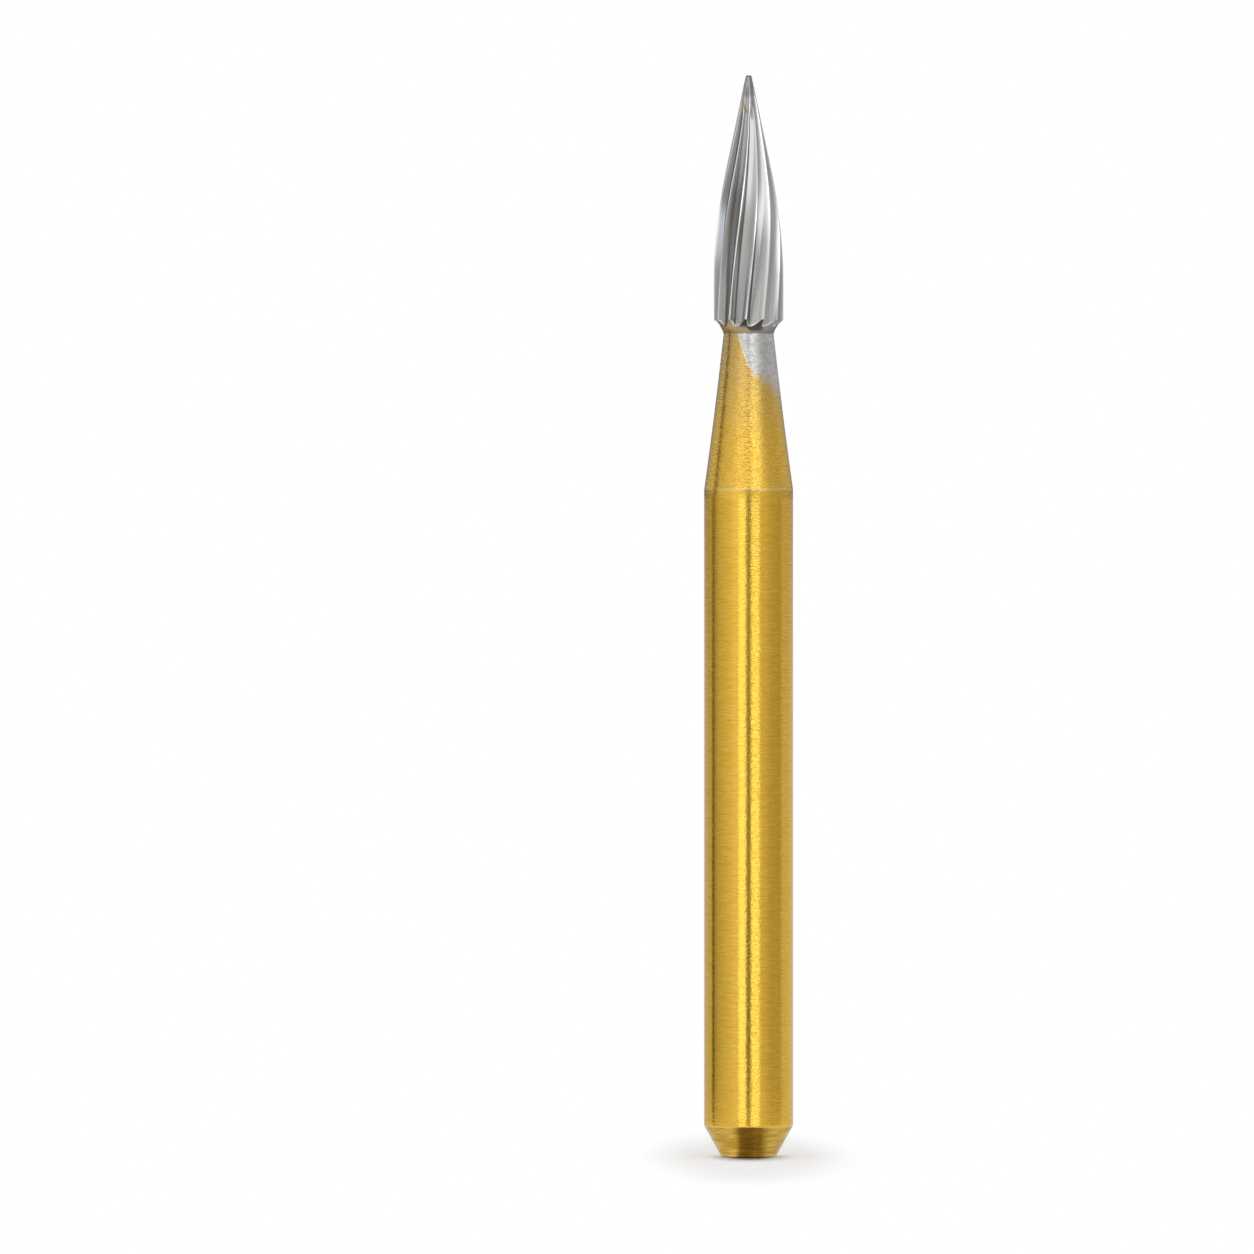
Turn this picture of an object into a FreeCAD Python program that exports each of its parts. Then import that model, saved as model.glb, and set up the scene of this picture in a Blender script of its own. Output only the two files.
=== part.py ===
import FreeCAD, Part
import Sketcher
import math
import os

# A flame-shaped finishing bur for a friction-grip handpiece, standing on the flat end of its shank.
# Frame: +Z runs along the axis to the tip, and the origin is the centre of the end face.
# Lengths are in millimetres and angles in degrees.

SIZES = {
    # Shank and neck, turned from one steel bar
    "shank_diameter": 1.6,
    "shank_length": 12.0,
    "end_face_diameter": 0.98,
    "end_cone_height": 0.56,
    "neck_length": 2.8,
    "neck_diameter": 0.9,
    "neck_flare_radius": 90.0,
    "edge_break": 0.02,
    # Carbide head before its flutes are ground
    "head_diameter": 1.25,
    "back_height": 0.25,
    "back_hollow_radius": 0.45,
    "straight_length": 0.8,
    "flame_radius": 8.5,
    "tip_angle": 12.0,
    "tip_diameter": 0.1,
    "tip_rounding": 0.03,
    # Flutes, measured where the head has its full diameter
    "flute_pairs": 6,
    "flute_depth": 0.125,
    "flute_floor_radius": 0.4,
    "rake_lean": 20.0,
    "land_width": 0.025,
    "helix_lead": 36.0,
    "first_edge_angle": -96.5,
    # Where the flutes fade out below the tip, and how far the wheel starts below the head's back face
    "long_flute_stop": 0.12,
    "short_flute_stop": 0.5,
    "fade_length": 0.35,
    "wheel_approach": 0.1,
}

# Formulas on the sheet's cells, in the head's own frame, whose origin is the centre of its back face
HEAD_RADIUS = "sizes.head_diameter / 2"
TIP_RADIUS = "sizes.tip_diameter / 2"
STRAIGHT_TOP = "(sizes.back_height + sizes.straight_length)"
ARC_TOP = f"({STRAIGHT_TOP} + sizes.flame_radius * sin(sizes.tip_angle))"
ARC_TOP_RADIUS = f"({HEAD_RADIUS} - sizes.flame_radius * (1 - cos(sizes.tip_angle)))"
TIP_HEIGHT = f"({ARC_TOP} + ({ARC_TOP_RADIUS} - {TIP_RADIUS}) / tan(sizes.tip_angle))"
PITCH_ANGLE = "(180 / sizes.flute_pairs)"
LAND_ANGLE = f"(sizes.land_width / ({HEAD_RADIUS}) * 180 / pi)"

# The sketcher's indices for the origin point and the two axes
ORIGIN_POINT_INDEX = (-1, 1)
ACROSS_AXIS_INDEX = -1
UP_AXIS_INDEX = -2

# The grinding cut is drawn past the surface that it opens, by these ratios to the radius there
OVERSHOOT_RATIO = 0.05
CLEARANCE_RATIO = 1.05
# Outside the surface the flute's floor would climb at about 60 degrees, so it goes this far round as it rises
FLOOR_RUN_RATIO = 0.6


def make_sheet(doc):
    sheet = doc.addObject("Spreadsheet::Sheet", "sizes")
    for row, (name, size) in enumerate(SIZES.items(), start=1):
        sheet.set(f"A{row}", name)
        sheet.set(f"B{row}", str(size))
        sheet.setAlias(f"B{row}", name)
    doc.recompute()
    return sheet


def number(formula):
    """The present value of a formula on the sheet's cells."""
    value = FreeCAD.ActiveDocument.sizes.evalExpression(str(formula))
    return float(getattr(value, "Value", value))


def origin_feature(body, role):
    return next(f for f in body.Origin.OriginFeatures if f.Role == role)


class Outline:
    """A closed sketch outline, counterclockwise, whose corners and radii are bound to formulas."""

    def __init__(self, body, name, plane):
        self.sketch = body.newObject("Sketcher::SketchObject", name)
        self.sketch.AttachmentSupport = (origin_feature(body, plane), [""])
        self.sketch.MapMode = "FlatFace"
        self.corners = []
        self.bends = {}

    def corner(self, name, across, up):
        self.corners.append((name, across, up))

    def bend(self, name, radius, hollow):
        """Makes the edge that leaves the last corner an arc, which bulges outwards or is hollow."""
        self.bends[len(self.corners) - 1] = (name, radius, hollow)

    def close(self):
        points = [FreeCAD.Vector(number(x), number(y), 0) for _, x, y in self.corners]
        count = len(points)
        for i, start in enumerate(points):
            end = points[(i + 1) % count]
            if i in self.bends:
                _, radius, hollow = self.bends[i]
                self.sketch.addGeometry(arc_between(start, end, number(radius), hollow))
            else:
                self.sketch.addGeometry(Part.LineSegment(start, end))
        for i, (name, x, y) in enumerate(self.corners):
            following = (i + 1) % count
            self._constrain("Coincident", i, self._end(i), following, self._start(following))
            self._place("X", UP_AXIS_INDEX, i, name, x)
            self._place("Y", ACROSS_AXIS_INDEX, i, name, y)
        for i, (name, radius, _) in self.bends.items():
            self._bind(self._constrain("Radius", i, number(radius)), name + "_radius", radius)
        return self.sketch

    def _place(self, letter, axis, i, name, formula):
        """Holds the corner where edge i starts on an axis, or at a formula's distance from it."""
        if formula == 0:
            self._constrain("PointOnObject", i, self._start(i), axis)
        else:
            value = number(formula)
            index = self._constrain("Distance" + letter, *ORIGIN_POINT_INDEX, i, self._start(i), value)
            self._bind(index, f"{name}_{letter.lower()}", formula)

    def _start(self, i):
        """The sketcher's number for the start of edge i, where a hollow arc, being counterclockwise, ends."""
        return 2 if self._hollow(i) else 1

    def _end(self, i):
        return 1 if self._hollow(i) else 2

    def _hollow(self, i):
        return i in self.bends and self.bends[i][2]

    def _constrain(self, kind, *arguments):
        return self.sketch.addConstraint(Sketcher.Constraint(kind, *arguments))

    def _bind(self, index, name, formula):
        self.sketch.renameConstraint(index, name)
        self.sketch.setExpression("Constraints." + name, formula)


def arc_between(start, end, radius, hollow):
    """The short arc from start to end, with its centre on the left, or on the right if it is hollow."""
    chord = end - start
    left = FreeCAD.Vector(-chord.y, chord.x, 0).normalize()
    side = -1 if hollow else 1
    centre = (start + end) / 2 + left * side * math.sqrt(radius**2 - (chord.Length / 2) ** 2)
    circle = Part.Circle(centre, FreeCAD.Vector(0, 0, 1), radius)
    first, last = (end, start) if hollow else (start, end)
    return Part.ArcOfCircle(circle, circle.parameter(first), circle.parameter(last))


def revolve(body, name, outline):
    """Turns an outline drawn right of the axis into a solid round Z."""
    turned = body.newObject("PartDesign::Revolution", name)
    turned.Profile = (outline, [""])
    turned.ReferenceAxis = (outline, ["V_Axis"])
    turned.Angle = 360
    return turned


def circles_at(turned, heights):
    """The names of a turned solid's edges that are full circles at the given heights."""
    FreeCAD.ActiveDocument.recompute()
    levels = [number(h) for h in heights]
    found = [
        f"Edge{i}"
        for i, edge in enumerate(turned.Shape.Edges, start=1)
        if edge.isClosed() and any(abs(edge.CenterOfMass.z - level) < 1e-6 for level in levels)
    ]
    if len(found) != len(levels):
        raise RuntimeError(f"{turned.Name}: found {len(found)} edges for {len(levels)} heights")
    return found


def make_shank(doc):
    """The shank with its end cone, and the neck that tapers in a slight hollow up to the head."""
    body = doc.addObject("PartDesign::Body", "shank")
    shoulder = "sizes.shank_length"
    top = "sizes.shank_length + sizes.neck_length"
    outline = Outline(body, "shank_outline", "XZ_Plane")
    outline.corner("centre", 0, 0)
    outline.corner("end_face", "sizes.end_face_diameter / 2", 0)
    outline.corner("end_cone", "sizes.shank_diameter / 2", "sizes.end_cone_height")
    outline.corner("shoulder", "sizes.shank_diameter / 2", shoulder)
    outline.bend("neck", "sizes.neck_flare_radius", hollow=True)
    outline.corner("neck_top", "sizes.neck_diameter / 2", top)
    outline.corner("neck_centre", 0, top)
    turned = revolve(body, "turned_shank", outline.close())
    breaks = body.newObject("PartDesign::Chamfer", "edge_breaks")
    breaks.Base = (turned, circles_at(turned, ["0", "sizes.end_cone_height"]))
    breaks.setExpression("Size", "sizes.edge_break")
    return body


def make_head(doc):
    """The carbide head: a turned flame with helical flutes, of which every other one ends further down."""
    body = doc.addObject("PartDesign::Body", "cutting_head")
    body.setExpression("Placement.Base.z", "sizes.shank_length + sizes.neck_length")
    body.setExpression("Placement.Rotation.Angle", "sizes.first_edge_angle")
    outline = Outline(body, "flame_outline", "XZ_Plane")
    outline.corner("centre", 0, 0)
    outline.corner("back", "sizes.neck_diameter / 2", 0)
    outline.bend("back_flare", "sizes.back_hollow_radius", hollow=True)
    outline.corner("back_edge", HEAD_RADIUS, "sizes.back_height")
    outline.corner("straight_top", HEAD_RADIUS, STRAIGHT_TOP)
    outline.bend("flame", "sizes.flame_radius", hollow=False)
    outline.corner("flame_top", ARC_TOP_RADIUS, ARC_TOP)
    outline.corner("tip", TIP_RADIUS, TIP_HEIGHT)
    outline.corner("tip_centre", 0, TIP_HEIGHT)
    flame = revolve(body, "flame", outline.close())
    tip = body.newObject("PartDesign::Fillet", "tip_round")
    tip.Base = (flame, circles_at(flame, [TIP_HEIGHT]))
    tip.setExpression("Radius", "sizes.tip_rounding")
    grind_flutes(body, "long_flute", "sizes.long_flute_stop", "0")
    grind_flutes(body, "short_flute", "sizes.short_flute_stop", PITCH_ANGLE)
    return body


def flute_stations(stop):
    """The height and cutting-edge radius at each section of a flute, from below the back face to its end."""
    stations = [
        ("-sizes.wheel_approach", HEAD_RADIUS),
        ("sizes.back_height", HEAD_RADIUS),
        (STRAIGHT_TOP, HEAD_RADIUS),
    ]
    for share in (0.5, 1.0):
        angle = f"({share} * sizes.tip_angle)"
        height = f"{STRAIGHT_TOP} + sizes.flame_radius * sin({angle})"
        stations.append((height, f"({HEAD_RADIUS} - sizes.flame_radius * (1 - cos({angle})))"))
    fade_start = f"({stop} + sizes.fade_length)"
    middle = f"(({TIP_HEIGHT} - {ARC_TOP} + {fade_start}) / 2)"
    for below_tip in (middle, fade_start):
        stations.append((f"{TIP_HEIGHT} - {below_tip}", cone_radius(below_tip)))
    lifted = f"{cone_radius(stop)} * {HEAD_RADIUS} / ({HEAD_RADIUS} - sizes.flute_depth) * {CLEARANCE_RATIO}"
    stations.append((f"{TIP_HEIGHT} - {stop}", lifted))
    return stations


def cone_radius(below_tip):
    """The radius of the flame's straight cone at a distance below the tip."""
    return f"({TIP_RADIUS} + {below_tip} * tan(sizes.tip_angle))"


def flute_section(body, name, height, edge_radius, turn):
    """A section of the cut between two cutting edges. Before its turn, the first edge is on the X axis."""
    scale = f"({edge_radius}) / ({HEAD_RADIUS})"
    depth = f"sizes.flute_depth * {scale}"
    outside = f"({edge_radius}) * {1 + OVERSHOOT_RATIO}"
    land = f"({PITCH_ANGLE} - {LAND_ANGLE} + {OVERSHOOT_RATIO * FLOOR_RUN_RATIO} * 180 / pi)"
    beyond = f"{outside} * {CLEARANCE_RATIO} / cos({land} / 2)"
    outline = Outline(body, name, "XY_Plane")
    outline.corner("root", f"({edge_radius}) - {depth}", f"{depth} * tan(sizes.rake_lean)")
    outline.corner("rake", outside, f"(({edge_radius}) - {outside}) * tan(sizes.rake_lean)")
    outline.corner("beyond", f"{beyond} * cos({land} / 2)", f"{beyond} * sin({land} / 2)")
    outline.corner("land", f"{outside} * cos({land})", f"{outside} * sin({land})")
    outline.bend("floor", f"sizes.flute_floor_radius * {scale}", hollow=False)
    sketch = outline.close()
    spin = FreeCAD.Rotation(FreeCAD.Vector(0, 0, 1), number(turn))
    sketch.AttachmentOffset = FreeCAD.Placement(FreeCAD.Vector(0, 0, number(height)), spin)
    sketch.setExpression("AttachmentOffset.Base.z", height)
    sketch.setExpression("AttachmentOffset.Rotation.Angle", turn)
    return sketch


def grind_flutes(body, name, stop, phase):
    """Cuts one helical flute and repeats it round the head."""
    sections = []
    for i, (height, edge_radius) in enumerate(flute_stations(stop), start=1):
        turn = f"{phase} + 360 * ({height}) / sizes.helix_lead"
        sections.append(flute_section(body, f"{name}_section_{i}", height, edge_radius, turn))
    cut = body.newObject("PartDesign::SubtractiveLoft", name)
    cut.Profile = (sections[0], [""])
    cut.Sections = [(section, [""]) for section in sections[1:]]
    ring = body.newObject("PartDesign::PolarPattern", name + "s")
    ring.Originals = [cut]
    ring.Axis = (origin_feature(body, "Z_Axis"), [""])
    ring.Angle = 360
    ring.setExpression("Occurrences", "sizes.flute_pairs")
    body.Tip = ring


def check(doc, bodies):
    """Stops if anything in the document failed, or a sub-part isn't one sound solid."""
    for thing in doc.Objects:
        if {"Invalid", "Error"} & set(thing.State):
            raise RuntimeError(f"{thing.Name} failed: {thing.State}")
    for body in bodies:
        shape = body.Shape
        if shape.isNull() or not shape.isValid() or len(shape.Solids) != 1:
            raise RuntimeError(f"{body.Label} isn't one valid solid")


def main():
    doc = FreeCAD.newDocument("dental_bur")
    make_sheet(doc)
    bodies = [make_shank(doc), make_head(doc)]
    doc.recompute()
    check(doc, bodies)
    os.makedirs("parts", exist_ok=True)
    for body in bodies:
        body.Shape.exportStep(f"parts/{body.Label}.step")
        print(f"{body.Label}: {body.Shape.Volume:.4f} mm3, {len(body.Shape.Faces)} faces")
    return bodies


main()
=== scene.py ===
"""The looks of a flame-shaped dental bur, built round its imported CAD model.

The shank is one turned mesh with gold-coloured plating that is worn off beside the head. The head is one
mesh of ground carbide whose rings and columns follow its flutes. Lengths are in millimetres until they
reach Blender, which is in metres. Angles round the axis are in degrees from the front, positive to the right.
"""

import math

import bpy
import numpy as np
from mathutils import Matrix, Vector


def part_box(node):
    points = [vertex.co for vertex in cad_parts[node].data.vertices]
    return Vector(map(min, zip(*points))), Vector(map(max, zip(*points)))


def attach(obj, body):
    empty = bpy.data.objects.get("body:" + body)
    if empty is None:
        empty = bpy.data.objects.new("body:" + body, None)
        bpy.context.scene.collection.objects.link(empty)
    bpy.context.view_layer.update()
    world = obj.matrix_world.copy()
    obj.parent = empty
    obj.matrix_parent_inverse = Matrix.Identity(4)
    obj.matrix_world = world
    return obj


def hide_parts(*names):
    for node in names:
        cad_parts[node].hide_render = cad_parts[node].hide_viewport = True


MM = 0.001

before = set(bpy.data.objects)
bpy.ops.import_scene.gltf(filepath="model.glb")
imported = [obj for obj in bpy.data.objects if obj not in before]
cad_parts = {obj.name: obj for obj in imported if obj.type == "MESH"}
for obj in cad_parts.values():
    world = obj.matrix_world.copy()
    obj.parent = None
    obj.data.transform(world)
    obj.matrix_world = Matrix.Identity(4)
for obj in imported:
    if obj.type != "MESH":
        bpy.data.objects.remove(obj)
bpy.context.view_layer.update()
SHANK_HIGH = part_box("shank")[1] / MM
HEAD_LOW, HEAD_HIGH = (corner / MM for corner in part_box("cutting_head"))

# Shank and neck
SHANK_RADIUS = SHANK_HIGH.x
NECK_TOP = SHANK_HIGH.z
SHOULDER = 12.0
END_FACE_RADIUS = 0.49
END_CONE_HEIGHT = 0.56
NECK_RADIUS = 0.45
NECK_FLARE_RADIUS = 90.0
EDGE_BREAK = 0.02

# Head before its flutes are ground, with heights above its back face
HEAD_RADIUS = HEAD_HIGH.x
HEAD_LENGTH = HEAD_HIGH.z - HEAD_LOW.z
TIP_TOP = HEAD_HIGH.z
BACK_HEIGHT = 0.25
BACK_HOLLOW_RADIUS = 0.45
STRAIGHT_TOP = 1.05
FLAME_RADIUS = 8.5
TIP_ANGLE = math.radians(12.0)
TIP_RADIUS = 0.05
TIP_ROUNDING = 0.03

# Flutes
FLUTES = 12
PITCH = 2 * math.pi / FLUTES
FLUTE_DEPTH = 0.125
FLOOR_RADIUS = 0.4
RAKE_LEAN = math.radians(20.0)
LAND_WIDTH = 0.025
HELIX_LEAD = 36.0
FIRST_EDGE_ANGLE = -6.5
# How far below the tip the long and the short flutes stop, and the length over which they fade before that
LONG_STOP = 0.12
SHORT_STOP = 0.5
FADE_LENGTH = 0.35
# How far outside the head a flute's root is where the flute stops, as a ratio of radii
STOP_RATIO = 1.05
# The corner outside the head to which a floor's arc runs: its radius over the cutting edge's, and its angle
# past the start of the land
CORNER_RATIO = 1.05
CORNER_ADVANCE = 0.03

# Rings and columns of the shank's mesh, and how far its even rings keep from the broken edges
CONE_RINGS = 12
CYLINDER_RINGS = 60
NECK_RINGS = 120
SHANK_COLUMNS = 256
CONE_MARGIN = 0.05
CYLINDER_MARGIN = 0.1

# Faces that meet at more than these angles, in degrees, have a sharp edge between them
SHANK_SHARP_ANGLE = 40
HEAD_SHARP_ANGLE = 24

# Radii and heights this near to each other count as the same
TOLERANCE = 1e-6
# Added where something that may be zero is divided by
NEAR_ZERO = 1e-9

# Camera, as far off as the photograph's perspective asks
IMAGE_PIXELS = 1254
PIXELS_PER_MM = 55.6
CAMERA_DISTANCE = 203.0
CAMERA_HEIGHT = 10.46
FRAME_CENTRE = (-2.187, 9.529)
SENSOR_WIDTH = 36.0
CLIP_DISTANCES = (10.0, 5000.0)


class Graph:
    """Adds nodes to a node tree. Most calls return an output socket of the new node."""

    def __init__(self, tree):
        self.tree = tree
        tree.nodes.clear()

    def add(self, kind, inputs=(), output=0, **settings):
        node = self.tree.nodes.new(kind)
        for name, value in settings.items():
            setattr(node, name, value)
        for key, value in dict(inputs).items():
            if isinstance(value, bpy.types.NodeSocket):
                self.tree.links.new(value, node.inputs[key])
            else:
                node.inputs[key].default_value = value
        return node.outputs[output] if node.outputs else node

    def math(self, operation, first, second=0.0, third=0.0):
        return self.add("ShaderNodeMath", {0: first, 1: second, 2: third}, operation=operation)

    def rescale(self, value, low, high, to_low=0.0, to_high=1.0, smooth=False):
        """Maps low..high to to_low..to_high and clamps."""
        kind = "SMOOTHSTEP" if smooth else "LINEAR"
        inputs = {"Value": value, "From Min": low, "From Max": high, "To Min": to_low, "To Max": to_high}
        return self.add("ShaderNodeMapRange", inputs, interpolation_type=kind)

    def blend(self, factor, first, second):
        """A colour between two colours."""
        inputs = {"Factor": factor, 6: first, 7: second}
        return self.add("ShaderNodeMix", inputs, output=2, data_type="RGBA")

    def vector(self, operation, first, second):
        return self.add("ShaderNodeVectorMath", {0: first, 1: second}, operation=operation)

    def length(self, vector):
        return self.add("ShaderNodeVectorMath", {0: vector}, output=1, operation="LENGTH")

    def noise(self, vector, scale, detail=2.0, roughness=0.5):
        """Noise of 0 to 1 whose scale has one value for each axis, in features for each millimetre."""
        placed = self.vector("MULTIPLY", vector, [s / MM for s in scale])
        inputs = {"Vector": placed, "Scale": 1.0, "Detail": detail, "Roughness": roughness}
        return self.add("ShaderNodeTexNoise", inputs)

    def ramp(self, value, stops):
        """A straight-line ramp over (place, colour) stops."""
        socket = self.add("ShaderNodeValToRGB", {"Fac": value})
        points = socket.node.color_ramp.elements
        while len(points) < len(stops):
            points.new(1.0)
        for point, (place, colour) in zip(points, stops):
            point.position = place
            point.color = (*colour, 1.0)
        return socket

    def attribute(self, name):
        return self.add("ShaderNodeAttribute", output=2, attribute_name=name)

    def place(self):
        return self.add("ShaderNodeTexCoord", output=3)

    def axis(self, vector, letter):
        return self.add("ShaderNodeSeparateXYZ", {0: vector}, output="XYZ".index(letter))


def new_graph(name):
    material = bpy.data.materials.new(name)
    material.use_nodes = True
    return material, Graph(material.node_tree)


def mesh_object(name, points, faces, attributes=None):
    """A mesh object whose points are given in millimetres, with a float for each point in each attribute."""
    mesh = bpy.data.meshes.new(name)
    mesh.from_pydata((np.asarray(points) * MM).tolist(), [], faces)
    for label, values in (attributes or {}).items():
        layer = mesh.attributes.new(label, "FLOAT", "POINT")
        layer.data.foreach_set("value", np.asarray(values, np.float32))
    mesh.update()
    made = bpy.data.objects.new(name, mesh)
    bpy.context.scene.collection.objects.link(made)
    return made


def smooth(piece, sharp_angle):
    piece.data.shade_smooth()
    piece.data.set_sharp_from_angle(angle=math.radians(sharp_angle))


def ring_faces(rings, columns):
    """Quads between rings of points, and a fan on the centre point that comes before and after them."""
    faces = []
    for column in range(columns):
        following = (column + 1) % columns
        faces.append((0, 1 + following, 1 + column))
        for ring in range(rings - 1):
            low = 1 + ring * columns
            high = low + columns
            faces.append((low + column, low + following, high + following, high + column))
        top = 1 + (rings - 1) * columns
        faces.append((top + column, top + following, 1 + rings * columns))
    return faces


def smoothstep(value, low, high):
    share = np.clip((value - low) / (high - low), 0.0, 1.0)
    return share * share * (3.0 - 2.0 * share)


def front_angle(x, y):
    """Degrees round the axis from the front, positive to the right."""
    return np.degrees(np.arctan2(x, -y))


# The upper border of the plating, which is worn off beside the head: (angle, height, width of its fade)
PLATING_BORDER = (
    (-180, 14.55, 0.10),
    (-120, 14.93, 0.08),
    (-60, 14.98, 0.03),
    (-33, 14.98, 0.02),
    (-27, 14.80, 0.014),
    (-14, 14.51, 0.014),
    (-4, 14.28, 0.03),
    (9, 14.08, 0.12),
    (38, 13.94, 0.25),
    (66, 13.72, 0.30),
    (110, 13.55, 0.30),
    (150, 13.95, 0.20),
    (180, 14.55, 0.10),
)


def bare_field(angle, height):
    """How far a point is above the plating's border, and how wide the border fades there, in millimetres."""
    angles, heights, widths = np.transpose(PLATING_BORDER)
    return height - np.interp(angle, angles, heights), np.interp(angle, angles, widths)


def rounded(before, corner, after, steps=4):
    """Points of a small round from one point by way of a corner to another."""
    t = np.linspace(0.0, 1.0, steps + 1)[:, None]
    return (1 - t) ** 2 * np.array(before) + 2 * t * (1 - t) * np.array(corner) + t**2 * np.array(after)


def towards(start, end, distance):
    """The point at a distance from start on the way to end."""
    start, end = np.array(start), np.array(end)
    return start + (end - start) * distance / np.linalg.norm(end - start)


def arc_centre(start, end, bend):
    """The centre of the arc of radius bend from start to end, on the right of the straight way there."""
    start, end = np.array(start), np.array(end)
    chord = end - start
    length = np.linalg.norm(chord)
    rightwards = np.array([chord[1], -chord[0]]) / length
    return (start + end) / 2 + rightwards * math.sqrt(bend**2 - (length / 2) ** 2)


def shank_profile():
    """(radius, height) from the end face to the top of the neck."""
    face = (0.0, 0.0)
    end = (END_FACE_RADIUS, 0.0)
    cone = (SHANK_RADIUS, END_CONE_HEIGHT)
    shoulder = (SHANK_RADIUS, SHOULDER)
    rows = [rounded(towards(end, face, EDGE_BREAK), end, towards(end, cone, EDGE_BREAK))]
    rows.append(np.linspace(towards(end, cone, CONE_MARGIN), towards(cone, end, CONE_MARGIN), CONE_RINGS))
    rows.append(rounded(towards(cone, end, EDGE_BREAK), cone, towards(cone, shoulder, EDGE_BREAK)))
    heights = np.linspace(END_CONE_HEIGHT + CYLINDER_MARGIN, SHOULDER, CYLINDER_RINGS)
    rows.append(np.column_stack([np.full_like(heights, SHANK_RADIUS), heights]))
    rows.append(neck_profile(shoulder, (NECK_RADIUS, NECK_TOP))[1:])
    return np.vstack(rows)


def neck_profile(start, end):
    """The neck's slight hollow, an arc whose centre lies outside the neck."""
    centre = arc_centre(start, end, NECK_FLARE_RADIUS)
    heights = np.linspace(start[1], end[1], NECK_RINGS)
    radii = centre[0] - np.sqrt(NECK_FLARE_RADIUS**2 - (heights - centre[1]) ** 2)
    return np.column_stack([radii, heights])


def build_shank():
    profile = shank_profile()
    angle = np.linspace(0.0, 2 * math.pi, SHANK_COLUMNS, endpoint=False)
    radius, height = profile[:, :1], profile[:, 1:]
    x = radius * np.sin(angle)
    y = -radius * np.cos(angle)
    z = np.broadcast_to(height, x.shape)
    rings = np.stack([x, y, z], axis=-1).reshape(-1, 3)
    points = np.vstack([(0, 0, profile[0, 1]), rings, (0, 0, profile[-1, 1])])
    field, width = bare_field(front_angle(points[:, 0], points[:, 1]), points[:, 2])
    attributes = {"bare_field": field, "bare_width": width}
    piece = mesh_object("turned_shank", points, ring_faces(len(profile), SHANK_COLUMNS), attributes)
    smooth(piece, SHANK_SHARP_ANGLE)
    return piece


def surface_radius(height):
    """The head's radius at a height above its back face, before its flutes are ground."""
    if height <= BACK_HEIGHT:
        return hollow_radius(height)
    if height <= STRAIGHT_TOP:
        return HEAD_RADIUS
    arc_top = STRAIGHT_TOP + FLAME_RADIUS * math.sin(TIP_ANGLE)
    if height <= arc_top:
        return HEAD_RADIUS - FLAME_RADIUS + math.sqrt(FLAME_RADIUS**2 - (height - STRAIGHT_TOP) ** 2)
    cone = TIP_RADIUS + (HEAD_LENGTH - height) * math.tan(TIP_ANGLE)
    above = height - (HEAD_LENGTH - TIP_ROUNDING)
    if above <= 0:
        return cone
    flat = TIP_RADIUS - TIP_ROUNDING * math.tan(math.radians(45) - TIP_ANGLE / 2)
    return min(cone, flat + math.sqrt(max(0.0, TIP_ROUNDING**2 - above**2)))


def hollow_radius(height):
    """The radius of the hollow flare between the neck and the back edge of the head."""
    centre = arc_centre((NECK_RADIUS, 0.0), (HEAD_RADIUS, BACK_HEIGHT), BACK_HOLLOW_RADIUS)
    return centre[0] - math.sqrt(BACK_HOLLOW_RADIUS**2 - (height - centre[1]) ** 2)


def cutter_radius(height, stop):
    """The radius of the cutting edge as ground, which leaves the head on the last stretch before a stop."""
    if height <= STRAIGHT_TOP:
        return HEAD_RADIUS
    start = HEAD_LENGTH - stop - FADE_LENGTH
    lift = max(0.0, (height - start) / FADE_LENGTH)
    end_ratio = HEAD_RADIUS / (HEAD_RADIUS - FLUTE_DEPTH) * STOP_RATIO
    radius = surface_radius(min(height, HEAD_LENGTH - TIP_ROUNDING))
    return radius * (1 + (end_ratio - 1) * lift**2)


class Flute:
    """One flute's section at a height: radius over the angle from its cutting edge to the next one."""

    def __init__(self, height, stop):
        self.surface = surface_radius(height)
        edge = cutter_radius(height, stop)
        scale = edge / HEAD_RADIUS
        depth = FLUTE_DEPTH * scale
        self.edge = np.array((edge, 0.0))
        self.root = np.array((edge - depth, depth * math.tan(RAKE_LEAN)))
        land = PITCH - LAND_WIDTH / HEAD_RADIUS + CORNER_ADVANCE
        corner = CORNER_RATIO * edge * np.array((math.cos(land), math.sin(land)))
        self.bend = FLOOR_RADIUS * scale
        self.centre = arc_centre(self.root, corner, self.bend)
        self.root_angle = math.atan2(self.root[1], self.root[0])
        self.root_radius = np.linalg.norm(self.root)

    def open(self):
        return self.root_radius < self.surface

    def floor_radius(self, angle):
        """Where the ray at an angle meets the floor's arc, on its side nearer to the axis."""
        direction = np.array((np.cos(angle), np.sin(angle)))
        along = direction[0] * self.centre[0] + direction[1] * self.centre[1]
        inside = along**2 - self.centre @ self.centre + self.bend**2
        return along - np.sqrt(np.maximum(inside, 0.0))

    def rake_radius(self, angle):
        """Where the ray at an angle meets the straight rake face."""
        run = self.root - self.edge
        return (self.edge[0] * run[1]) / (run[1] * np.cos(angle) - run[0] * np.sin(angle))

    def meets_surface(self):
        """The angles at which the rake face and the floor reach the head's surface."""
        angles = np.linspace(0.0, self.root_angle, RAKE_STEPS)
        rake = angles[np.argmax(self.rake_radius(angles) <= self.surface)]
        angles = np.linspace(self.root_angle, PITCH, FLOOR_STEPS)
        above = self.floor_radius(angles) >= self.surface
        floor = angles[np.argmax(above)] if above.any() else angles[-1]
        return rake, floor


# How many angles are tried for where a rake face and a floor reach the surface
RAKE_STEPS = 200
FLOOR_STEPS = 400

LAND_COLUMNS = 5
# How far down the rake face its columns are, as shares of the way from the cutting edge to the root
RAKE_SHARES = (0.0, 0.12, 0.40, 0.72)
FLOOR_COLUMNS = 10
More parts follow.
